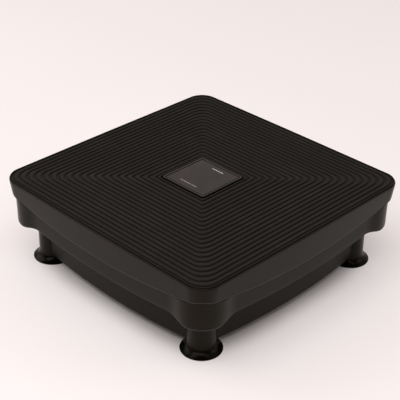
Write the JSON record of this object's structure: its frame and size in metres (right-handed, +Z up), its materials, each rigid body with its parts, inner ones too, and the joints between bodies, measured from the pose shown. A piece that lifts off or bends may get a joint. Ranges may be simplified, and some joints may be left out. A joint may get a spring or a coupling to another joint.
{
  "type": "vibration plate",
  "caption": "Square free-standing vibration platform with a ribbed rubber mat, a display window, a sprung top driven by an eccentric motor, and suction-cup feet.",
  "frame": {"origin": "on the floor, under the middle of the platform", "axes": "+Z up; -Y is the front, and +Y is the rear with the power inlet; +X is to the right seen from the front"},
  "size_m": [0.4, 0.4, 0.1329],
  "materials": {
    "mat_rubber": "matte moulded rubber",
    "shell_plastic": "satin moulded plastic with a fine grain",
    "pan_plastic": "matte moulded plastic",
    "cup_rubber": "glossy moulded rubber",
    "bezel_plastic": "glossy black plastic",
    "smoked_lens": "smoked glossy plastic",
    "black_plastic": "satin black plastic",
    "circuit_board": "green circuit board",
    "plate_steel": "brushed steel",
    "fastener_steel": "dark plated steel",
    "cast_aluminium": "die-cast aluminium",
    "painted_steel": "satin grey paint",
    "core_iron": "bare laminated iron",
    "copper_wire": "enamelled copper wire",
    "pin_brass": "bare brass",
    "rocker_plastic": "glossy red plastic"
  },
  "bodies": {
    "base": {"chassis": "pan_plastic", "base_pan": "pan_plastic", "pan_screws": "fastener_steel", "inlet_bay": "pan_plastic", "isolator_seats": "plate_steel", "isolator_front_left": "cup_rubber", "isolator_front_right": "cup_rubber", "isolator_back_left": "cup_rubber", "isolator_back_right": "cup_rubber", "leg_front_left": "shell_plastic", "leg_front_right": "shell_plastic", "leg_back_left": "shell_plastic", "leg_back_right": "shell_plastic", "suction_cup_front_left": "cup_rubber", "suction_cup_front_right": "cup_rubber", "suction_cup_back_left": "cup_rubber", "suction_cup_back_right": "cup_rubber", "leg_bolts": "fastener_steel", "control_board": "circuit_board", "board_screws": "fastener_steel", "capacitor": "black_plastic", "heat_sink": "cast_aluminium", "transformer": "circuit_board", "terminal_block": "circuit_board", "power_inlet": "black_plastic", "inlet_pins": "pin_brass", "inlet_screws": "fastener_steel", "switch_frame": "black_plastic"},
    "platform": {"top_mat": "mat_rubber", "display_bezel": "bezel_plastic", "display_lens": "smoked_lens", "led_module": "black_plastic", "display_board": "circuit_board", "top_lid": "shell_plastic", "deck_plate": "plate_steel", "deck_screws": "fastener_steel", "skirt": "shell_plastic", "skirt_screws": "fastener_steel", "isolator_caps": "plate_steel", "isolator_bolts": "fastener_steel", "motor_housing": "painted_steel", "motor_end_bell_left": "cast_aluminium", "motor_end_bell_right": "cast_aluminium", "stator_core": "core_iron", "stator_windings": "copper_wire", "motor_bearings": "plate_steel", "motor_saddles": "cast_aluminium", "motor_straps": "plate_steel", "strap_bolts": "fastener_steel"},
    "rotor": {"rotor_shaft": "plate_steel", "rotor_core": "core_iron", "eccentric_weight_left": "core_iron", "eccentric_weight_right": "core_iron", "weight_screws": "fastener_steel"},
    "switch": {"switch_rocker": "rocker_plastic"}
  },
  "joints": [
    {"name": "platform_bounce", "type": "slide", "parent": "base", "child": "platform", "axis": [0, 0, 1], "range_m": [-0.0025, 0.0025], "stiffness_N_per_m": 80000, "springref_m": 0.00108, "deforming": ["isolator_front_left", "isolator_front_right", "isolator_back_left", "isolator_back_right"]},
    {"name": "rotor_spin", "type": "hinge", "parent": "platform", "child": "rotor", "pos_m": [0, 0, 0.0725], "axis": [1, 0, 0], "continuous": true},
    {"name": "power_switch", "type": "hinge", "parent": "base", "child": "switch", "pos_m": [-0.088, 0.165, 0.045], "axis": [1, 0, 0], "range_deg": [0, 20]}
  ]
}
